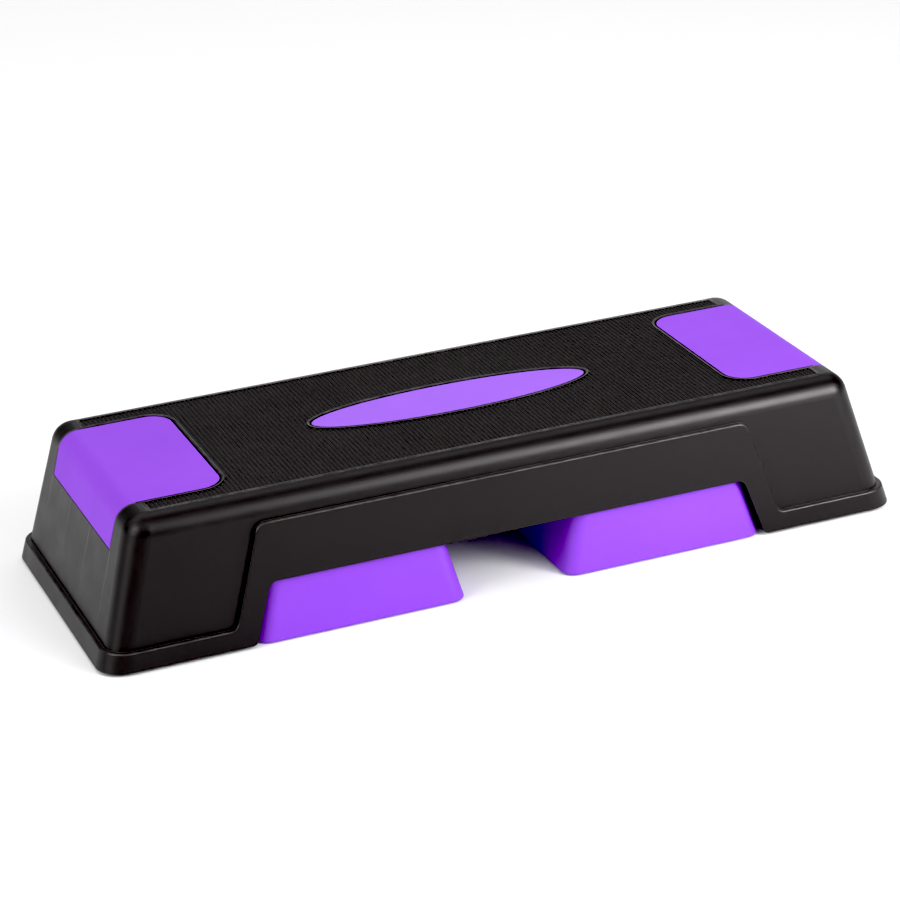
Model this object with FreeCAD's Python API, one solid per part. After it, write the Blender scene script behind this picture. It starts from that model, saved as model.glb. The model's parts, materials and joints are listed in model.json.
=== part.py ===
import FreeCAD, Part
import math
import os

# Aerobic step platform in its low position, in millimetres.
# X runs along the deck, Y across it and Z up. The origin is on the floor below the deck's centre.

# Deck outline: the band stands proud of the walls, and every wall leans in towards the top.
deck_length = 680.0
deck_width = 262.0
deck_height = 118.0
skirt_lift = 2.5
end_draft = 15.6
side_draft = 6.0
corner_radius = 18.5
top_edge_radius = 17.5
deck_wall = 3.0

# Proud band: a flange round the foot of the deck that rises to a panel on each long side.
band_step = 4.3
flange_top = 18.0
panel_drop = 19.5
panel_foot_inset = 108.0
panel_head_inset = 133.0
panel_head_radius = 9.0
panel_foot_radius = 7.0
band_edge_radius = 1.4

# Notch in each long side, where the risers stand.
notch_top = 50.8
notch_foot_inset = 122.5
notch_head_inset = 138.5
notch_head_radius = 8.0
notch_foot_radius = 5.0
notch_flare = 12.0

# Ribs under the deck.
rib_wall = 2.4
rib_pitch = 55.0
rib_side_inset = 21.0
rib_row_shares = (-0.75, -0.25, 0.25, 0.75)
between_rows_share = 0.5
rib_foot = 10.0
bay_wall_gap = 4.5

# Tread mat and its pocket.
mat_end_inset = 56.0
mat_side_inset = 32.3
mat_seat_depth = 2.5
mat_below_top = 0.3
mat_gap = 0.3
groove_pitch = 3.57
groove_width = 1.5
groove_depth = 1.0

# End caps and their pockets.
cap_length = 123.0
cap_side_inset = 51.0
cap_drop = 34.0
cap_corner_radius = 19.0
cap_thickness = 3.0
cap_gap = 0.8
cap_seat_gap = 0.2
rim_width = 3.0

# Screws that hold the caps from below.
cap_screw_insets = (19.0, 46.0)
cap_boss_radius = 4.5
cap_boss_gap = 0.5
screw_radius = 1.75
screw_fit = 0.05
screw_reach = 4.5
screw_head_radius = 5.5
screw_head_height = 2.6
screw_recess_radius = 1.2
screw_recess_depth = 1.4

# Badge plate, its pins and push-on nuts.
badge_half_length = 119.0
badge_half_width = 28.3
badge_thickness = 2.5
badge_gap = 0.7
badge_edge_radius = 0.8
badge_pin_inset = 35.0
badge_pin_shares = (-1, -1 / 3, 1 / 3, 1)
badge_pin_radius = 2.0
badge_pin_gap = 0.3
badge_pin_reach = 6.5
nut_radius = 5.5
nut_thickness = 0.8
nut_fit = 0.05

# Risers: hollow blocks, wider at the foot, that stand in the notches.
riser_notch_gap = 1.5
riser_middle_gap = 84.0
riser_side_inset = 1.7
riser_rim = 1.0
riser_top = 76.0
riser_end_draft = 13.5
riser_side_draft = 9.7
riser_corner_radius = 12.5
riser_top_edge_radius = 4.0
riser_rim_radius = 1.2
riser_wall = 3.0
riser_rib_lift = 4.0
riser_end_rib_inset = 45.0
riser_seat_gap = 0.3

# Posts under the deck and the wells in the risers that take them.
rise = 50.0
post_end_inset = 27.0
post_length = 26.0
post_width = 36.0
post_wall = 2.5
post_gap = 0.5
post_grip = 10.0
well_wall = 2.5

# Rubber feet, the same under the deck and the risers.
foot_radius = 9.0
foot_height = 4.0
foot_edge_radius = 1.0
foot_stem_radius = 4.0
foot_stem_height = 8.0
foot_stem_fit = 0.05
foot_boss_radius = 10.5
deck_foot_end_inset = 32.0
deck_foot_side_inset = 27.0
riser_foot_end_inset = 25.0
riser_foot_side_inset = 23.3

# Cuts run past the faces that they open by this much.
overrun = 12.0

# Heights within this share of a shape's size count as the same.
level_share = 1e-6

# Sizes that follow from those above.
half_length = deck_length / 2
half_width = deck_width / 2
end_slope = math.tan(math.radians(end_draft))
side_slope = math.tan(math.radians(side_draft))
end_lean = math.cos(math.radians(end_draft))
side_lean = math.cos(math.radians(side_draft))
riser_end_slope = math.tan(math.radians(riser_end_draft))
riser_side_slope = math.tan(math.radians(riser_side_draft))
panel_top = deck_height - panel_drop
panel_foot_reach = half_length - panel_foot_inset
panel_head_reach = half_length - panel_head_inset
notch_foot_reach = half_length - notch_foot_inset
notch_head_reach = half_length - notch_head_inset
mat_reach = half_length - mat_end_inset
mat_half_width = half_width - mat_side_inset
cap_inner_reach = half_length - cap_length
cap_half_width = half_width - cap_side_inset
cap_low_edge = deck_height - cap_drop
riser_half_length = (notch_foot_reach - riser_notch_gap - riser_middle_gap / 2) / 2
riser_half_width = half_width - riser_side_inset
riser_place = riser_middle_gap / 2 + riser_half_length
post_offset = (riser_half_length - post_end_inset) / 2
rib_field = half_width - rib_side_inset
rib_rows = [rib_field * share for share in rib_row_shares]
between_rows = rib_field * between_rows_share
bay_wall_reach = notch_foot_reach + bay_wall_gap
rib_column_count = int((bay_wall_reach - rib_wall) / rib_pitch)
rib_columns = [rib_pitch * step for step in range(-rib_column_count, rib_column_count + 1)]
badge_pin_places = [(badge_half_length - badge_pin_inset) * share for share in badge_pin_shares]
roof_top = deck_height - mat_seat_depth
roof_under = roof_top - deck_wall
middle_rib_foot = riser_top + riser_seat_gap
post_foot = riser_top - rise - post_grip
rim_reach = cap_inner_reach - cap_gap - rim_width
rim_half_width = cap_half_width + cap_gap + rim_width
rim_corner_radius = cap_corner_radius + cap_gap + rim_width


def vector(x, y, z):
    return FreeCAD.Vector(x, y, z)


def box(low, high):
    size = high - low
    return Part.makeBox(size.x, size.y, size.z, low)


def cylinder(radius, x, y, low, high):
    return Part.makeCylinder(radius, high - low, vector(x, y, low))


def joined(shapes):
    """One solid from shapes that touch or overlap."""
    return shapes[0].multiFuse(shapes[1:]).removeSplitter()


def rounded_wire(corners):
    """Closed flat wire through (point, radius) corners, each turned by an arc of its radius."""
    turns = []
    for index, (point, radius) in enumerate(corners):
        back = corners[index - 1][0] - point
        ahead = corners[(index + 1) % len(corners)][0] - point
        back.normalize()
        ahead.normalize()
        half_angle = back.getAngle(ahead) / 2
        reach = radius / math.tan(half_angle)
        inward = back + ahead
        inward.normalize()
        middle = point + inward * (radius / math.sin(half_angle) - radius)
        turns.append((point + back * reach, middle, point + ahead * reach, radius))
    edges = []
    for index, (start, middle, end, radius) in enumerate(turns):
        edges.append(Part.LineSegment(turns[index - 1][2], start).toShape())
        if radius > 0:
            edges.append(Part.Arc(start, middle, end).toShape())
    return Part.Wire(edges)


def leaning_block(low, high, radius):
    """Block between two level rectangles (half length, half width, height), its upright edges rounded."""
    low_length, low_width, low_z = low
    high_length, high_width, high_z = high
    block = Part.makeWedge(-low_length, low_z, -low_width, -high_width, -high_length,
                           low_length, high_z, low_width, high_width, high_length)
    block.rotate(vector(0, 0, 0), vector(1, 0, 0), 90)
    upright = [edge for edge in block.Edges if edge.BoundBox.ZLength > (high_z - low_z) / 2]
    return block.makeFillet(radius, upright)


def prism(wire, direction):
    return Part.Face(wire).extrude(direction)


def edges_at_height(shape, z):
    """Edges that lie in the level plane at z."""
    tolerance = shape.BoundBox.DiagonalLength * level_share
    return [edge for edge in shape.Edges
            if abs(edge.BoundBox.ZMin - z) < tolerance and abs(edge.BoundBox.ZMax - z) < tolerance]


def wall_half_length(z):
    return half_length - band_step - (z - skirt_lift) * end_slope


def wall_half_width(z):
    return half_width - band_step - (z - skirt_lift) * side_slope


def tub(low, top, inset, end_inset):
    """The deck's leaning walls and rounded top edge, moved inwards."""
    levels = [(wall_half_length(z) - end_inset / end_lean, wall_half_width(z) - inset / side_lean, z)
              for z in (low, top)]
    block = leaning_block(levels[0], levels[1], corner_radius - inset)
    return block.makeFillet(top_edge_radius - inset, edges_at_height(block, top))


def outer_tub(inset):
    return tub(skirt_lift, deck_height - inset, inset, inset)


def band_block(low, high, inset):
    levels = [(wall_half_length(z) + band_step - inset, wall_half_width(z) + band_step - inset, z)
              for z in (low, high)]
    return leaning_block(levels[0], levels[1], corner_radius + band_step - inset)


def band_outline(low, inset):
    """Side view of the band: low at the ends, with the panel rising in the middle."""
    end = half_length + overrun
    panel = [
        (panel_foot_reach - inset, flange_top - inset, panel_foot_radius + inset),
        (panel_head_reach - inset, panel_top - inset, panel_head_radius - inset),
    ]
    right = [(end, low, 0.0), (end, flange_top - inset, 0.0)] + panel
    left = [(-x, z, radius) for x, z, radius in reversed(right)]
    return rounded_wire([(vector(x, -deck_width, z), radius) for x, z, radius in right + left])


def band_solid(low, inset):
    outline = prism(band_outline(low, inset), vector(0, 2 * deck_width, 0))
    return band_block(low, panel_top - inset, inset).common(outline)


def band_rim_edges(band):
    """Upper outer edges of the band, without the lines that cross from side to side inside it."""
    tolerance = band_edge_radius
    chosen = []
    for edge in band.Edges:
        limits = edge.BoundBox
        crosses = limits.YMin < -tolerance and limits.YMax > tolerance and limits.XLength < tolerance
        inside = abs(limits.Center.x) < panel_foot_reach + panel_foot_radius + tolerance
        if limits.ZMin > flange_top - tolerance and not (crosses and inside):
            chosen.append(edge)
    return chosen


def notch_cutter():
    right = [
        (notch_foot_reach + notch_flare, skirt_lift - overrun, 0.0),
        (notch_foot_reach + notch_flare, skirt_lift, 0.0),
        (notch_foot_reach, skirt_lift, notch_foot_radius),
        (notch_head_reach, notch_top, notch_head_radius),
    ]
    left = [(-x, z, radius) for x, z, radius in reversed(right)]
    wire = rounded_wire([(vector(x, -deck_width, z), radius) for x, z, radius in right + left])
    return prism(wire, vector(0, 2 * deck_width, 0))


def deck_cavity():
    """Hollow under the roof and behind the band."""
    low = skirt_lift - overrun
    return tub(low, roof_under, deck_wall, deck_wall).fuse(band_solid(low, deck_wall))


def cap_backing():
    """Thicker stretch of the end walls, behind the caps."""
    reach = cap_half_width + cap_gap + deck_wall
    zone = box(vector(-deck_length, -reach, cap_low_edge - cap_gap - deck_wall),
               vector(deck_length, reach, deck_height + overrun))
    hollow = tub(skirt_lift, roof_under, deck_wall, deck_wall + cap_thickness)
    return zone.common(outer_tub(deck_wall / 2)).cut(hollow)


def rib_plates():
    """Upright plates under the roof: deep in the two ends, shallow over the risers."""
    plates = []
    for y in rib_rows:
        low_y = y - rib_wall / 2
        high_y = y + rib_wall / 2
        plates.append(box(vector(-deck_length, low_y, rib_foot), vector(-bay_wall_reach, high_y, deck_height)))
        plates.append(box(vector(bay_wall_reach, low_y, rib_foot), vector(deck_length, high_y, deck_height)))
        plates.append(box(vector(-bay_wall_reach, low_y, middle_rib_foot),
                          vector(bay_wall_reach, high_y, deck_height)))
    deep_columns = [side * reach for side in (-1, 1) for reach in (bay_wall_reach, bay_wall_reach + rib_pitch)]
    for columns, foot in ((rib_columns, middle_rib_foot), (deep_columns, rib_foot)):
        for x in columns:
            plates.append(box(vector(x - rib_wall / 2, -deck_width, foot),
                              vector(x + rib_wall / 2, deck_width, deck_height)))
    return plates


def post_places():
    return [(end * (riser_place + post_offset), side * between_rows) for end in (-1, 1) for side in (-1, 1)]


def upright_block(x, y, length, width, low, high):
    return box(vector(x - length / 2, y - width / 2, low), vector(x + length / 2, y + width / 2, high))


def deck_post(x, y):
    return upright_block(x, y, post_length, post_width, post_foot, roof_under + deck_wall / 2)


def deck_post_bore(x, y):
    length = post_length - 2 * post_wall
    width = post_width - 2 * post_wall
    return upright_block(x, y, length, width, post_foot - overrun, roof_under)


def deck_foot_places():
    reach = half_length - deck_foot_end_inset
    side = half_width - deck_foot_side_inset
    return {
        "front_left": (-reach, -side),
        "front_right": (reach, -side),
        "rear_left": (-reach, side),
        "rear_right": (reach, side),
    }


def foot_boss(x, y, top):
    return cylinder(foot_boss_radius, x, y, foot_height, top)


def foot_bore(x, y):
    return cylinder(foot_stem_radius + foot_stem_fit, x, y, foot_height - overrun, foot_height + foot_stem_height)


def ellipse_prism(half_length, half_width, low, high):
    edge = Part.Ellipse(vector(0, 0, low), half_length, half_width).toShape()
    return prism(Part.Wire([edge]), vector(0, 0, high - low))


def cap_prism(side, inner_reach, half_width, radius, low):
    """Plan of an end cap, open past the end of the deck, from its low edge upwards."""
    corners = [
        (vector(side * inner_reach, -half_width, low), radius),
        (vector(side * inner_reach, half_width, low), radius),
        (vector(side * deck_length, half_width, low), 0.0),
        (vector(side * deck_length, -half_width, low), 0.0),
    ]
    return prism(rounded_wire(corners), vector(0, 0, deck_height + overrun - low))


def cap_rim(side, gap):
    return cap_prism(side, rim_reach - gap, rim_half_width + gap, rim_corner_radius + gap, skirt_lift)


def badge_rim(gap, low, high):
    grow = badge_gap + rim_width + gap
    return ellipse_prism(badge_half_length + grow, badge_half_width + grow, low, high)


def mat_field(gap, low, high):
    """The mat's plan: a rectangle without the rims of the caps and the badge plate."""
    field = box(vector(-mat_reach - gap, -mat_half_width - gap, low),
                vector(mat_reach + gap, mat_half_width + gap, high))
    rims = [cap_rim(-1, -gap), cap_rim(1, -gap), badge_rim(-gap, low - overrun, high + overrun)]
    return field.cut(Part.makeCompound(rims))


def cap_pocket(side):
    outline = cap_prism(side, cap_inner_reach - cap_gap, cap_half_width + cap_gap,
                        cap_corner_radius + cap_gap, cap_low_edge - cap_gap)
    return outline.cut(outer_tub(cap_thickness))


def cap_screw_places(side):
    return [(side * (cap_inner_reach + inset), across * between_rows)
            for inset in cap_screw_insets for across in (-1, 1)]


def deck_shell():
    band = band_solid(skirt_lift, 0.0)
    band = band.makeFillet(band_edge_radius, band_rim_edges(band))
    cavity = deck_cavity()
    shell = outer_tub(0.0).fuse(band).cut(cavity).cut(notch_cutter())
    ribs = [plate.common(cavity) for plate in rib_plates()]
    bosses = [foot_boss(x, y, deck_height).common(cavity) for x, y in deck_foot_places().values()]
    posts = [deck_post(x, y) for x, y in post_places()]
    shell = joined([shell, cap_backing()] + ribs + bosses + posts)
    cuts = [mat_field(mat_gap, roof_top, deck_height + overrun), cap_pocket(-1), cap_pocket(1)]
    cuts.append(ellipse_prism(badge_half_length + badge_gap, badge_half_width + badge_gap,
                              deck_height - badge_thickness, deck_height + overrun))
    cuts += [deck_post_bore(x, y) for x, y in post_places()]
    cuts += [foot_bore(x, y) for x, y in deck_foot_places().values()]
    for x, y in cap_screw_places(-1) + cap_screw_places(1):
        cuts.append(cylinder(cap_boss_radius + cap_boss_gap, x, y, roof_under - overrun, deck_height))
    for x in badge_pin_places:
        cuts.append(cylinder(badge_pin_radius + badge_pin_gap, x, 0.0, roof_under - overrun, deck_height))
    for cut in cuts:
        shell = shell.cut(cut)
    return shell


def tread_mat():
    top = deck_height - mat_below_top
    mat = mat_field(0.0, roof_top, top)
    count = int(mat_reach / groove_pitch)
    grooves = [box(vector(groove_pitch * step - groove_width / 2, -deck_width, top - groove_depth),
                   vector(groove_pitch * step + groove_width / 2, deck_width, top + overrun))
               for step in range(-count, count + 1)]
    return mat.cut(Part.makeCompound(grooves))


def end_cap(side):
    plate = cap_prism(side, cap_inner_reach, cap_half_width, cap_corner_radius, cap_low_edge)
    plate = plate.common(outer_tub(0.0)).cut(outer_tub(cap_thickness - cap_seat_gap))
    under = deck_height - cap_thickness + cap_seat_gap
    bosses = [cylinder(cap_boss_radius, x, y, roof_under, under) for x, y in cap_screw_places(side)]
    cap = joined([plate] + bosses)
    for x, y in cap_screw_places(side):
        cap = cap.cut(cylinder(screw_radius + screw_fit, x, y, roof_under - overrun, roof_under + screw_reach))
    return cap


def cap_screws(side):
    screws = []
    for x, y in cap_screw_places(side):
        head_low = roof_under - screw_head_height
        head = cylinder(screw_head_radius, x, y, head_low, roof_under)
        shank = cylinder(screw_radius, x, y, roof_under, roof_under + screw_reach)
        recess = cylinder(screw_recess_radius, x, y, head_low - overrun, head_low + screw_recess_depth)
        screws.append(joined([head, shank]).cut(recess))
    return Part.makeCompound(screws)


def badge_plate():
    low = deck_height - badge_thickness
    plate = ellipse_prism(badge_half_length, badge_half_width, low, deck_height)
    plate = plate.makeFillet(badge_edge_radius, edges_at_height(plate, deck_height))
    pins = [cylinder(badge_pin_radius, x, 0.0, low - badge_pin_reach, low) for x in badge_pin_places]
    return joined([plate] + pins)


def badge_push_nuts():
    low = roof_under - nut_thickness
    nuts = []
    for x in badge_pin_places:
        disc = cylinder(nut_radius, x, 0.0, low, roof_under)
        bore = cylinder(badge_pin_radius + nut_fit, x, 0.0, low - overrun, roof_under + overrun)
        nuts.append(disc.cut(bore))
    return Part.makeCompound(nuts)


def riser_block(low, top, inset, place):
    levels = [(riser_half_length - (z - riser_rim) * riser_end_slope - inset,
               riser_half_width - (z - riser_rim) * riser_side_slope - inset, z) for z in (low, top)]
    block = leaning_block(levels[0], levels[1], riser_corner_radius - inset)
    return block.translated(vector(place, 0, 0))


def riser_wells(side):
    """Deep wells take the posts in the low position, shallow ones when the riser is turned round."""
    wells = []
    for outward, depth in ((1, rise + post_grip + riser_seat_gap), (-1, post_grip + riser_seat_gap)):
        x = side * (riser_place + outward * post_offset)
        wells += [(x, across * between_rows, riser_top - depth) for across in (-1, 1)]
    return wells


def riser_ribs(place):
    low = riser_rim + riser_rib_lift
    end_rib = riser_half_length - riser_end_rib_inset
    plates = [box(vector(place + x - rib_wall / 2, -riser_half_width, low),
                  vector(place + x + rib_wall / 2, riser_half_width, riser_top))
              for x in (-end_rib, 0.0, end_rib)]
    plates += [box(vector(place - riser_half_length, y - rib_wall / 2, low),
                   vector(place + riser_half_length, y + rib_wall / 2, riser_top))
               for y in (-between_rows, 0.0, between_rows)]
    return plates


def riser_foot_places(side):
    """Foot places of one riser; outer means towards the end of the deck."""
    reach = riser_half_length - riser_foot_end_inset
    foot_side = riser_half_width - riser_foot_side_inset
    places = {}
    for row, across in (("front", -1), ("rear", 1)):
        for column, outward in (("outer", 1), ("inner", -1)):
            x = side * (riser_place + outward * reach)
            places[row + "_" + column] = (x, across * foot_side)
    return places


def riser(side):
    place = side * riser_place
    outer = riser_block(riser_rim, riser_top, 0.0, place)
    outer = outer.makeFillet(riser_top_edge_radius, edges_at_height(outer, riser_top))
    outer = outer.makeFillet(riser_rim_radius, edges_at_height(outer, riser_rim))
    cavity = riser_block(riser_rim - overrun, riser_top - riser_wall, riser_wall, place)
    feet = riser_foot_places(side).values()
    length = post_length + 2 * post_gap
    width = post_width + 2 * post_gap
    sleeves = []
    wells = []
    for x, y, floor in riser_wells(side):
        sleeves.append(upright_block(x, y, length + 2 * well_wall, width + 2 * well_wall,
                                     floor - well_wall, riser_top - riser_wall / 2))
        wells.append(upright_block(x, y, length, width, floor, riser_top + overrun))
    ribs = [plate.common(cavity) for plate in riser_ribs(place)]
    bosses = [foot_boss(x, y, riser_top).common(cavity) for x, y in feet]
    block = joined([outer.cut(cavity)] + ribs + bosses + sleeves)
    for cut in wells + [foot_bore(x, y) for x, y in feet]:
        block = block.cut(cut)
    return block


def rubber_foot(x, y):
    pad = cylinder(foot_radius, x, y, 0.0, foot_height)
    pad = pad.makeFillet(foot_edge_radius, edges_at_height(pad, 0.0))
    stem = cylinder(foot_stem_radius, x, y, foot_height, foot_height + foot_stem_height)
    return joined([pad, stem])


def build():
    nodes = {
        "deck_shell": deck_shell(),
        "tread_mat": tread_mat(),
        "badge_plate": badge_plate(),
        "badge_push_nuts": badge_push_nuts(),
    }
    for name, (x, y) in deck_foot_places().items():
        nodes["deck_foot_" + name] = rubber_foot(x, y)
    for hand, side in (("left", -1), ("right", 1)):
        nodes["end_cap_" + hand] = end_cap(side)
        nodes["end_cap_screws_" + hand] = cap_screws(side)
        nodes["riser_" + hand] = riser(side)
        for name, (x, y) in riser_foot_places(side).items():
            nodes["riser_foot_" + hand + "_" + name] = rubber_foot(x, y)
    return nodes


os.makedirs("parts", exist_ok=True)
for node_name, shape in build().items():
    shape.exportStep(os.path.join("parts", node_name + ".step"))
    print(node_name, len(shape.Solids), "solids", round(shape.Volume), "mm3, valid:", shape.isValid())
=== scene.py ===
import json
import math

import bpy
from mathutils import Matrix, Vector


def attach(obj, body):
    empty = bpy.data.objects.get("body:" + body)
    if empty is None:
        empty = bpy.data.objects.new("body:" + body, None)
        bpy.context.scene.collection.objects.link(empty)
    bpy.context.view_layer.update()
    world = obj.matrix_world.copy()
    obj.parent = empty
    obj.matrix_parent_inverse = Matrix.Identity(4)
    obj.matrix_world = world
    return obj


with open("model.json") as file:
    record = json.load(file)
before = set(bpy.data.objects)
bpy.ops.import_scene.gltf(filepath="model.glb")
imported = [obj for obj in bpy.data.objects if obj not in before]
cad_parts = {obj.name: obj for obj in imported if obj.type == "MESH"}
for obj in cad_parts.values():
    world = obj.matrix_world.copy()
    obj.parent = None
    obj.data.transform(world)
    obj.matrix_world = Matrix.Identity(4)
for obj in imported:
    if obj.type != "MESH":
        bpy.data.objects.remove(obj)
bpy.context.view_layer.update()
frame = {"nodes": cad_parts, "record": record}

# Aerobic step platform: a black deck with a ribbed mat, and purple end caps, badge plate and risers.

# Lengths are in metres, in the part's own frame.
nodes = frame["nodes"]

# Camera at the photo's viewing angle. The first three values are pixels of the 900 by 900 photo.
photo_side = 900
photo_focal_length = 3009.97
photo_centre = (452.88, 449.71)
camera_place = Vector((-0.8081, -2.1119, 1.0379))
camera_azimuth = math.radians(-20.95)
camera_elevation = math.radians(23.14)
camera_roll = math.radians(-2.95)
sensor_width_mm = 36.0

# Floor, surrounding light and view
floor_reach = 8.0
floor_colour = (0.93, 0.93, 0.93, 1.0)
floor_roughness = 0.9
world_colour = (1.0, 1.0, 1.0, 1.0)
world_strength = 0.4
black_level = 0.040
white_level = 0.99

# Lamps: angles in degrees, powers in watts. Azimuth is 0 in front of the deck and 90 at its right end.
lamp_target = Vector((0.0, 0.0, 0.06))
studio_lamp = {"distance": 6.0, "width": 2.9, "height": 2.9}
key_lamp = {"distance": 1.75, "width": 0.55}
lamps = {
    "key": {"azimuth": 40, "elevation": 23, "power": 24.5, "height": 0.7, **key_lamp},
    "key_front": {"azimuth": 22, "elevation": 32, "power": 8.0, "height": 1.0, **key_lamp},
    "left": {"azimuth": 291, "elevation": 36, "power": 122, **studio_lamp},
    "low_left": {"azimuth": 284, "elevation": 13, "power": 53, **studio_lamp},
    "corner_front": {"azimuth": 341, "elevation": 38, "power": 15, **studio_lamp},
    "corner_rear": {"azimuth": 241, "elevation": 34, "power": 15, **studio_lamp},
    "low_front": {"azimuth": 330, "elevation": 12, "power": 9, **studio_lamp},
    "low_rear": {"azimuth": 155, "elevation": 14, "power": 27, **studio_lamp},
    "top_front": {"azimuth": 0, "elevation": 62, "power": 33, **studio_lamp},
    "top_right": {"azimuth": 120, "elevation": 62, "power": 36, **studio_lamp},
    "top_rear": {"azimuth": 180, "elevation": 62, "power": 36, **studio_lamp},
    "top_left": {"azimuth": 240, "elevation": 62, "power": 43, **studio_lamp},
}

# Patterns in the finishes: how many of each lie along a metre, and the layers of detail in each.
cloud_scale = 9.0
cloud_detail = 3.0
scuff_scale = 140.0
scuff_detail = 5.0
gloss_scale = 45.0
gloss_detail = 4.0
grain_scale = 1500.0
grain_detail = 2.0

# Most of a noise lies between these two values, so its colours and numbers are spread over them.
noise_low = 0.3
noise_high = 0.7

# Gloss: how far the roughness goes up and down, and the tint of what is mirrored
gloss_range = 0.03
gloss_tint = (1.0, 0.95, 0.96, 1.0)

# Relief: the depth of the grain, and the rounding of edges
grain_depth = 0.0002
bevel_radius = 0.0005
bevel_samples = 4

# Rubbed edges: openness seen from inside a piece is low at an outward edge and high on a plain face
edge_samples = 4
edge_full = 0.45
edge_none = 0.95
scuff_least = 0.15

# Faces that look up: the upright share of a face's direction
upward_none = 0.28
upward_full = 0.34

# Kinds of wear: how far it reaches from an edge, and how many times glossier a rubbed edge is
light_wear = {"reach": 0.0012, "polish": 1.2}
plate_wear = {"reach": 0.0006, "polish": 1.2}
# The deck's rubbed edges also carry a painted highlight in their pale colour.
deck_wear_and_highlight = {"reach": 0.0024, "polish": 4.0}

# Painted shade and painted light in sheltered places: their reach, the openness for full and no paint, the
# openness for no and whole gloss
shelter_samples = 4

# Level paint lies only on faces that look up.
# Painted shade in narrow gaps: the purple parts darken and the gloss dulls there.
gap_painted_shade = {"reach": 0.001, "full": 0.2, "none": 0.45, "dull": 0.05, "shiny": 0.35, "level": False}
# Painted light: a pale colour in the deck's concave corners, on faces that look up, lifting the shade
# there.
corner_painted_light = {"reach": 0.005, "full": 0.45, "none": 0.95, "dull": 0.05, "shiny": 0.35, "level": True}
# Painted light: a paler colour in the mat's grooves, lifting their shade.
groove_painted_light = {"reach": 0.0015, "full": 0.5, "none": 0.9, "dull": 0.5, "shiny": 0.9, "level": False}

# Finishes: clouds from dark to pale, a colour on rubbed edges (a painted highlight on the deck), and a
# painted colour in sheltered places: painted shade in gaps, painted light in corners and grooves
finishes = {
    # The deck's pale colour on upward edges is a painted highlight, and its pale corner colour is painted
    # light.
    "deck_plastic": {
        "dark": (0.0020, 0.0016, 0.0017), "pale": (0.0030, 0.0025, 0.0026),
        "wear_and_highlight_colour": (0.120, 0.112, 0.112), "painted_shading_colour": (0.080, 0.075, 0.075),
        "roughness": 0.39, "specular": 0.47, "grain": 0.12, "painted_shading": corner_painted_light, "wear": deck_wear_and_highlight,
    },
    "rim_plastic": {
        "dark": (0.0020, 0.0016, 0.0017), "pale": (0.0030, 0.0025, 0.0026),
        "wear_and_highlight_colour": (0.050, 0.047, 0.047), "painted_shading_colour": (0.020, 0.019, 0.019),
        "roughness": 0.39, "specular": 0.47, "grain": 0.12, "painted_shading": gap_painted_shade, "wear": light_wear,
    },
    # The rib marks' pale colour is a painted highlight.
    "rib_mark_painted_highlight": {
        "dark": (0.150, 0.141, 0.139), "pale": (0.175, 0.165, 0.162),
        "wear_and_highlight_colour": (0.180, 0.170, 0.167), "painted_shading_colour": (0.120, 0.113, 0.111),
        "roughness": 0.40, "specular": 0.5, "grain": 0.12, "painted_shading": gap_painted_shade, "wear": light_wear,
    },
    # The mat's pale colour in its grooves is painted light that lifts their shade.
    "mat_rubber": {
        "dark": (0.0172, 0.0161, 0.0165), "pale": (0.0210, 0.0198, 0.0202),
        "wear_and_highlight_colour": (0.0225, 0.0211, 0.0215), "painted_shading_colour": (0.138, 0.130, 0.132),
        "roughness": 0.65, "specular": 0.2, "grain": 0.3, "painted_shading": groove_painted_light, "wear": light_wear,
    },
    "trim_plastic": {
        "dark": (0.242, 0.070, 0.59), "pale": (0.262, 0.077, 0.64),
        "wear_and_highlight_colour": (0.33, 0.11, 0.74), "painted_shading_colour": (0.004, 0.001, 0.008),
        "roughness": 0.68, "specular": 0.25, "grain": 0.1, "painted_shading": gap_painted_shade, "wear": plate_wear,
    },
    "badge_plastic": {
        "dark": (0.286, 0.113, 0.64), "pale": (0.306, 0.121, 0.69),
        "wear_and_highlight_colour": (0.35, 0.13, 0.76), "painted_shading_colour": (0.004, 0.001, 0.008),
        "roughness": 0.68, "specular": 0.25, "grain": 0.1, "painted_shading": gap_painted_shade, "wear": plate_wear,
    },
    "riser_plastic": {
        "dark": (0.198, 0.048, 0.53), "pale": (0.215, 0.054, 0.57),
        "wear_and_highlight_colour": (0.32, 0.10, 0.72), "painted_shading_colour": (0.02, 0.003, 0.05),
        "roughness": 0.45, "specular": 0.35, "grain": 0.1, "painted_shading": gap_painted_shade, "wear": light_wear,
    },
    "foot_rubber": {
        "dark": (0.012, 0.012, 0.012), "pale": (0.018, 0.018, 0.018),
        "wear_and_highlight_colour": (0.03, 0.03, 0.03), "painted_shading_colour": (0.008, 0.008, 0.008),
        "roughness": 0.7, "specular": 0.3, "grain": 0.35, "painted_shading": gap_painted_shade, "wear": light_wear,
    },
    # Near-black strips in the gaps: painted shade.
    "gap_shade_black": {
        "dark": (0.0010, 0.0010, 0.0010), "pale": (0.0016, 0.0016, 0.0016),
        "wear_and_highlight_colour": (0.002, 0.002, 0.002), "painted_shading_colour": (0.001, 0.001, 0.001),
        "roughness": 0.8, "specular": 0.1, "grain": 0.2, "painted_shading": gap_painted_shade, "wear": light_wear,
    },
    "steel": {
        "dark": (0.46, 0.46, 0.47), "pale": (0.58, 0.58, 0.59),
        "wear_and_highlight_colour": (0.66, 0.66, 0.66), "painted_shading_colour": (0.12, 0.12, 0.12),
        "roughness": 0.35, "specular": 0.5, "grain": 0.1, "painted_shading": gap_painted_shade, "wear": light_wear,
        "metallic": 1.0,
    },
}

# Rims on the deck's top. They slope down towards the caps and the badge plate, from a ridge beside the mat.
deck_top = 0.118
rim_width = 0.003
rim_height = 0.0006

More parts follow.
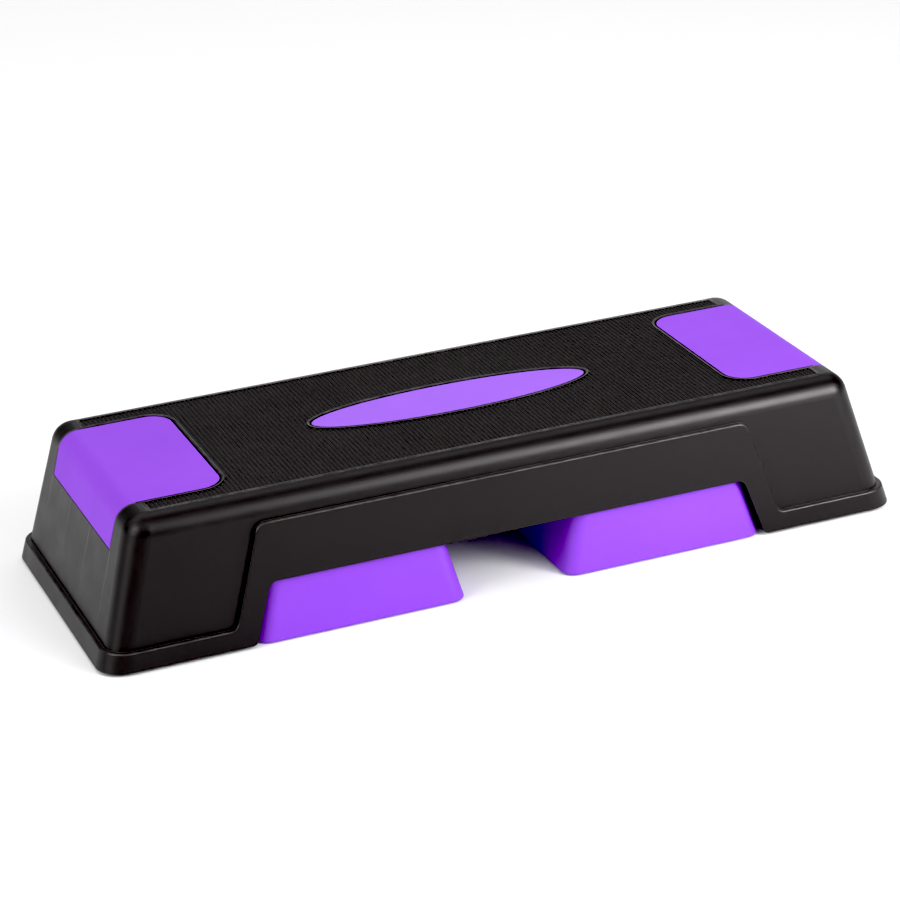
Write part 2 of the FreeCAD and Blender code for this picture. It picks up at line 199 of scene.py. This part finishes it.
# A profile's points are shares of its width, across the path, and of its height.
rim_profile = ((0.15, -0.4), (0.15, 0.1), (0.86, 1.0), (0.95, 0.95), (1.0, 0.7), (1.0, -0.6))
badge_half_length = 0.119
badge_half_width = 0.0283
badge_gap = 0.0007
badge_rim_steps = 96
cap_inner_reach = 0.217
cap_half_width = 0.08
cap_corner_radius = 0.019
cap_gap = 0.0008
cap_corner_steps = 10
cap_rim_end = 0.289
cap_rim_fade = 0.012
cap_rim_fade_steps = 6

# Dark strips in the gaps round the caps and the badge plate, standing in for the shade there as painted
# shade.
shade_strip_width = 0.001
shade_strip_height = 0.0002
shade_strip_profile = ((-0.65, -2.0), (-0.65, 0.6), (-0.4, 1.0), (0.3, 1.0), (0.5, 0.6), (0.5, -2.0))

# Lip round the mat's pocket.
lip_width = 0.001
lip_height = 0.00035
lip_profile = ((-0.9, -1.2), (-0.9, 0.3), (-0.6, 0.85), (-0.1, 1.0), (0.4, 0.75), (0.8, -0.4))
pocket_reach = 0.2843
pocket_half_width = 0.099
pocket_end_half_width = 0.0846

# Rib marks on the end walls: faint lines where the ribs inside meet the wall, made pale as a painted
# highlight.
end_wall_foot_x = 0.33576
end_wall_foot_z = 0.0025
end_wall_lean = math.radians(15.607)
rib_mark_rows = (-0.0825, -0.0275, 0.0275, 0.0825)
rib_mark_top = 0.0832
rib_mark_foot = 0.03
rib_mark_width = 0.0016
rib_mark_height = 0.00007
rib_mark_sink = 0.00015
rib_mark_taper = 0.7
rib_mark_steps = 12
rib_mark_ring = 3


def make_camera():
    back = Vector((
        math.sin(camera_azimuth) * math.cos(camera_elevation),
        -math.cos(camera_azimuth) * math.cos(camera_elevation),
        math.sin(camera_elevation),
    ))
    right = Vector((math.cos(camera_azimuth), math.sin(camera_azimuth), 0.0))
    up = back.cross(right)
    turned_right = right * math.cos(camera_roll) + up * math.sin(camera_roll)
    turned_up = up * math.cos(camera_roll) - right * math.sin(camera_roll)
    turn = Matrix((turned_right, turned_up, back)).transposed()
    data = bpy.data.cameras.new("photo_camera")
    data.sensor_width = sensor_width_mm
    data.lens = photo_focal_length * sensor_width_mm / photo_side
    data.shift_x = (photo_side / 2 - photo_centre[0]) / photo_side
    data.shift_y = (photo_centre[1] - photo_side / 2) / photo_side
    camera = bpy.data.objects.new("photo_camera", data)
    camera.matrix_world = Matrix.Translation(camera_place) @ turn.to_4x4()
    bpy.context.scene.collection.objects.link(camera)
    bpy.context.scene.camera = camera


def new_material(name):
    """A material with nodes, and its shader."""
    material = bpy.data.materials.new(name)
    material.use_nodes = True
    return material, material.node_tree.nodes["Principled BSDF"]


def add_node(material, kind, inputs=None, **settings):
    node = material.node_tree.nodes.new(kind)
    for key, value in settings.items():
        setattr(node, key, value)
    for key, value in (inputs or {}).items():
        node.inputs[key].default_value = value
    return node


def join(material, source, target):
    material.node_tree.links.new(source, target)


def place_on_piece(material):
    """Coordinates that move with the piece, in metres."""
    return add_node(material, "ShaderNodeTexCoord").outputs["Object"]


def noise(material, place, scale, detail):
    node = add_node(material, "ShaderNodeTexNoise", {"Scale": scale, "Detail": detail})
    join(material, place, node.inputs["Vector"])
    return node.outputs["Fac"]


def spread(material, factor, low, high, start=noise_low, end=noise_high):
    """Numbers from low to high as the factor goes from start to end."""
    limits = {"From Min": start, "From Max": end, "To Min": low, "To Max": high}
    node = add_node(material, "ShaderNodeMapRange", limits)
    join(material, factor, node.inputs["Value"])
    return node.outputs["Result"]


def colours_between(material, factor, dark, pale):
    node = add_node(material, "ShaderNodeValToRGB")
    first, last = node.color_ramp.elements
    first.position = noise_low
    first.color = (*dark, 1.0)
    last.position = noise_high
    last.color = (*pale, 1.0)
    join(material, factor, node.inputs["Fac"])
    return node.outputs["Color"]


def product(material, first, second):
    node = add_node(material, "ShaderNodeMath", operation="MULTIPLY")
    join(material, first, node.inputs[0])
    join(material, second, node.inputs[1])
    return node.outputs["Value"]


def overlaid(material, factor, colour, top_colour):
    """The colour, covered by the top colour as far as the factor says."""
    node = add_node(material, "ShaderNodeMix", data_type="RGBA")
    factor_socket, colour_socket, top_socket = node.inputs[0], node.inputs[6], node.inputs[7]
    join(material, factor, factor_socket)
    join(material, colour, colour_socket)
    top_socket.default_value = (*top_colour, 1.0)
    return node.outputs[2]


def facing_up(material):
    """1 on faces that look up, 0 on walls and undersides."""
    normal = add_node(material, "ShaderNodeTexCoord").outputs["Normal"]
    split = add_node(material, "ShaderNodeSeparateXYZ")
    join(material, normal, split.inputs["Vector"])
    return spread(material, split.outputs["Z"], 0.0, 1.0, upward_none, upward_full)


def worn_and_highlit_edges(material, place, reach):
    """Where outward edges that look up are rubbed, in patches. On the deck their pale colour is a painted
    highlight.
    """
    inside = add_node(material, "ShaderNodeAmbientOcclusion", {"Distance": reach},
                      samples=edge_samples, inside=True, only_local=True)
    edges = spread(material, inside.outputs["AO"], 1.0, 0.0, edge_full, edge_none)
    scuffs = spread(material, noise(material, place, scuff_scale, scuff_detail), scuff_least, 1.0)
    return product(material, product(material, edges, scuffs), facing_up(material))


def openness(material, reach):
    """How open a place is: 1 on plain faces, less in gaps and grooves."""
    node = add_node(material, "ShaderNodeAmbientOcclusion", {"Distance": reach}, samples=shelter_samples)
    return node.outputs["AO"]


def relief(material, height, strength):
    """Normals of the grain, over edges that are rounded a little."""
    rounded = add_node(material, "ShaderNodeBevel", {"Radius": bevel_radius}, samples=bevel_samples)
    bump = add_node(material, "ShaderNodeBump", {"Strength": strength, "Distance": grain_depth})
    join(material, height, bump.inputs["Height"])
    join(material, rounded.outputs["Normal"], bump.inputs["Normal"])
    return bump.outputs["Normal"]


def make_finish(name, dark, pale, wear_and_highlight_colour, painted_shading_colour, roughness, specular, grain, painted_shading, wear,
                metallic=0.0):
    """A finish with fine grain, faint clouds of colour, rubbed edges (a painted highlight on the deck), and
    a painted colour in sheltered places: painted shade in gaps, painted light in corners and grooves.
    """
    material, shader = new_material(name)
    place = place_on_piece(material)
    worn_and_highlit = worn_and_highlit_edges(material, place, wear["reach"])
    open_share = openness(material, painted_shading["reach"])
    sunk = spread(material, open_share, 1.0, 0.0, painted_shading["full"], painted_shading["none"])
    if painted_shading["level"]:
        sunk = product(material, sunk, facing_up(material))
    clouds = noise(material, place, cloud_scale, cloud_detail)
    colour = colours_between(material, clouds, dark, pale)
    # Rubbed edges take the worn colour, which is a painted highlight on the deck.
    colour = overlaid(material, worn_and_highlit, colour, wear_and_highlight_colour)
    # Sheltered places take the painted colour: painted shade in gaps, painted light in corners and grooves.
    colour = overlaid(material, sunk, colour, painted_shading_colour)
    join(material, colour, shader.inputs["Base Color"])
    shine = spread(material, open_share, 0.0, specular, painted_shading["dull"], painted_shading["shiny"])
    polish = spread(material, worn_and_highlit, 1.0, wear["polish"], 0.0, 1.0)
    join(material, product(material, shine, polish), shader.inputs["Specular IOR Level"])
    gloss = noise(material, place, gloss_scale, gloss_detail)
    rough = spread(material, gloss, roughness - gloss_range, roughness + gloss_range)
    join(material, rough, shader.inputs["Roughness"])
    bumps = relief(material, noise(material, place, grain_scale, grain_detail), grain)
    join(material, bumps, shader.inputs["Normal"])
    shader.inputs["Specular IOR Level"].default_value = specular
    shader.inputs["Specular Tint"].default_value = gloss_tint
    shader.inputs["Metallic"].default_value = metallic
    return material


materials = {name: make_finish(name, **finish) for name, finish in finishes.items()}


def dress_cad_nodes():
    """Each CAD node gets its slot's finish. The badge plate has a finish of its own."""
    for subpart in frame["record"]["subparts"]:
        name = "badge_plastic" if subpart["node"] == "badge_plate" else subpart["material_slot"]
        mesh = nodes[subpart["node"]].data
        mesh.materials.clear()
        mesh.materials.append(materials[name])


def make_floor():
    corners = [(-floor_reach, -floor_reach, 0), (floor_reach, -floor_reach, 0),
               (floor_reach, floor_reach, 0), (-floor_reach, floor_reach, 0)]
    mesh = bpy.data.meshes.new("floor")
    mesh.from_pydata(corners, [], [(0, 1, 2, 3)])
    floor = bpy.data.objects.new("floor", mesh)
    bpy.context.scene.collection.objects.link(floor)
    material, shader = new_material("floor")
    shader.inputs["Base Color"].default_value = floor_colour
    shader.inputs["Roughness"].default_value = floor_roughness
    mesh.materials.append(material)


def make_world():
    world = bpy.data.worlds.new("studio")
    bpy.context.scene.world = world
    world.use_nodes = True
    background = world.node_tree.nodes["Background"]
    background.inputs["Color"].default_value = world_colour
    background.inputs["Strength"].default_value = world_strength


def set_view():
    """Standard colours, with light below the black level turned black and above the white level white."""
    view = bpy.context.scene.view_settings
    view.view_transform = "Standard"
    view.use_curve_mapping = True
    view.curve_mapping.black_level = (black_level, black_level, black_level)
    view.curve_mapping.white_level = (white_level, white_level, white_level)
    view.curve_mapping.update()


def make_lamp(name, azimuth, elevation, distance, width, height, power):
    turn = math.radians(azimuth)
    rise = math.radians(elevation)
    away = Vector((math.sin(turn) * math.cos(rise), -math.cos(turn) * math.cos(rise), math.sin(rise)))
    data = bpy.data.lights.new(name, "AREA")
    data.shape = "RECTANGLE"
    data.size = width
    data.size_y = height
    data.energy = power
    lamp = bpy.data.objects.new(name, data)
    lamp.location = lamp_target + away * distance
    lamp.rotation_mode = "QUATERNION"
    lamp.rotation_quaternion = away.to_track_quat("Z", "Y")
    bpy.context.scene.collection.objects.link(lamp)


def add_piece(name, points, faces, finish, smooth=True):
    mesh = bpy.data.meshes.new(name)
    mesh.from_pydata(points, [], faces)
    mesh.materials.append(materials[finish])
    mesh.polygons.foreach_set("use_smooth", [smooth] * len(mesh.polygons))
    piece = bpy.data.objects.new(name, mesh)
    bpy.context.scene.collection.objects.link(piece)
    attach(piece, "deck")


def outward(before, after):
    """Level direction to the right of a path."""
    along = (after - before).normalized()
    return Vector((along.y, -along.x, 0.0))


def ridge_points(path, profile, width, height, closed, fades):
    """The profile's points at each place of the path, mitred where the path turns."""
    points = []
    count = len(path)
    for index, place in enumerate(path):
        before = path[index - 1] if closed or index > 0 else place
        after = path[(index + 1) % count] if closed or index < count - 1 else place
        arriving = outward(before, place) if before != place else outward(place, after)
        leaving = outward(place, after) if after != place else arriving
        across = (arriving + leaving) / (1.0 + arriving.dot(leaving))
        for across_share, height_share in profile:
            lift = height * height_share * (fades[index] if height_share > 0 else 1.0)
            points.append(place + across * width * across_share + Vector((0.0, 0.0, lift)))
    return points


def make_ridge(name, path, profile, width, height, closed, fades,
               finish="rim_plastic"):
    """A profile swept along a level path on the deck's top. The fades lower it, point by point."""
    points = ridge_points(path, profile, width, height, closed, fades)
    count = len(path)
    size = len(profile)
    faces = []
    for index in range(count if closed else count - 1):
        start = index * size
        following = (index + 1) % count * size
        for step in range(size):
            beside = (step + 1) % size
            faces.append((start + step, start + beside, following + beside, following + step))
    if not closed:
        faces.append(tuple(reversed(range(size))))
        faces.append(tuple(range((count - 1) * size, count * size)))
    add_piece(name, points, faces, finish)


# A near-black strip in a gap, painted shade.
def make_shade_strip(name, path, closed, fades):
    make_ridge(name, path, shade_strip_profile, shade_strip_width, shade_strip_height, closed, fades, "gap_shade_black")


def badge_rim_path():
    half_length = badge_half_length + badge_gap
    half_width = badge_half_width + badge_gap
    path = []
    for step in range(badge_rim_steps):
        turn = math.tau * step / badge_rim_steps
        path.append(Vector((half_length * math.cos(turn), half_width * math.sin(turn), deck_top)))
    return path


def make_badge_rim():
    path = badge_rim_path()
    plain = [1.0] * len(path)
    make_ridge("badge_rim", path, rim_profile, rim_width, rim_height, True, plain)
    # The strip in the gap round the badge plate is painted shade.
    make_shade_strip("badge_shade_strip", path, True, plain)


def cap_rim_path(end):
    """From the deck's end, round the cap's inner side and back, with the rim to the right."""
    reach = cap_inner_reach - cap_gap
    half_width = cap_half_width + cap_gap
    radius = cap_corner_radius + cap_gap
    fade = [step / cap_rim_fade_steps for step in range(cap_rim_fade_steps + 1)]
    path = [(cap_rim_end - cap_rim_fade * share, -half_width) for share in fade]
    for step in range(cap_corner_steps + 1):
        turn = math.pi / 2 * step / cap_corner_steps
        x = reach + radius - radius * math.sin(turn)
        y = -half_width + radius - radius * math.cos(turn)
        path.append((x, y))
    path += [(x, -y) for x, y in reversed(path)]
    points = [Vector((end * x, y, deck_top)) for x, y in path]
    plain = [1.0] * (len(path) - 2 * len(fade))
    fades = fade + plain + fade[::-1]
    return (points if end < 0 else points[::-1]), fades


def make_cap_rim(hand, end):
    path, fades = cap_rim_path(end)
    make_ridge("cap_rim_" + hand, path, rim_profile, rim_width, rim_height, False, fades)
    # The strip in the gap round the cap is painted shade.
    make_shade_strip("cap_shade_strip_" + hand, path, False, fades)


def make_mat_lip(name, side):
    """A lip along one long side of the mat's pocket and round its two corners."""
    corners = [(-pocket_reach, pocket_end_half_width), (-pocket_reach, pocket_half_width),
               (pocket_reach, pocket_half_width), (pocket_reach, pocket_end_half_width)]
    points = [Vector((x, side * y, deck_top)) for x, y in corners]
    path = points if side < 0 else points[::-1]
    make_ridge(name, path, lip_profile, lip_width, lip_height, False, [1.0] * len(path))


def rib_mark_points(end, row, share):
    """Foot, crest and foot of a mark at a share of its length, from its top down."""
    z = rib_mark_top + (rib_mark_foot - rib_mark_top) * share
    x = end_wall_foot_x - (z - end_wall_foot_z) * math.tan(end_wall_lean)
    half_width = rib_mark_width / 2 * (1 - rib_mark_taper * share)
    height = rib_mark_height * (1 - share)
    crest = Vector((x + height * math.cos(end_wall_lean), row, z + height * math.sin(end_wall_lean)))
    sunk = x - rib_mark_sink
    points = [Vector((sunk, row - half_width, z)), crest, Vector((sunk, row + half_width, z))]
    return [Vector((end * point.x, point.y, point.z)) for point in points]


def rib_mark_faces(start):
    """Faces of one mark whose points begin at start: its top end, its sides and its foot."""
    faces = [(start + 2, start + 1, start)]
    for step in range(rib_mark_steps):
        base = start + rib_mark_ring * step
        following = base + rib_mark_ring
        for side in range(rib_mark_ring):
            beside = (side + 1) % rib_mark_ring
            faces.append((base + side, base + beside, following + beside, following + side))
    last = start + rib_mark_ring * rib_mark_steps
    faces.append((last, last + 1, last + 2))
    return faces


def make_rib_marks(name, end):
    """Four thin ridges on one end wall that fade towards the floor, pale as a painted highlight."""
    points = []
    faces = []
    for row in rib_mark_rows:
        mark_faces = rib_mark_faces(len(points))
        for step in range(rib_mark_steps + 1):
            points += rib_mark_points(end, row, step / rib_mark_steps)
        faces += mark_faces if end < 0 else [face[::-1] for face in mark_faces]
    add_piece(name, points, faces, "rib_mark_painted_highlight", smooth=False)


dress_cad_nodes()
make_camera()
make_floor()
make_world()
set_view()
for lamp_name, lamp_values in lamps.items():
    make_lamp(lamp_name, **lamp_values)
make_badge_rim()
make_cap_rim("left", -1)
make_cap_rim("right", 1)
make_mat_lip("mat_lip_front", -1)
make_mat_lip("mat_lip_rear", 1)
make_rib_marks("rib_marks_left", -1)
make_rib_marks("rib_marks_right", 1)
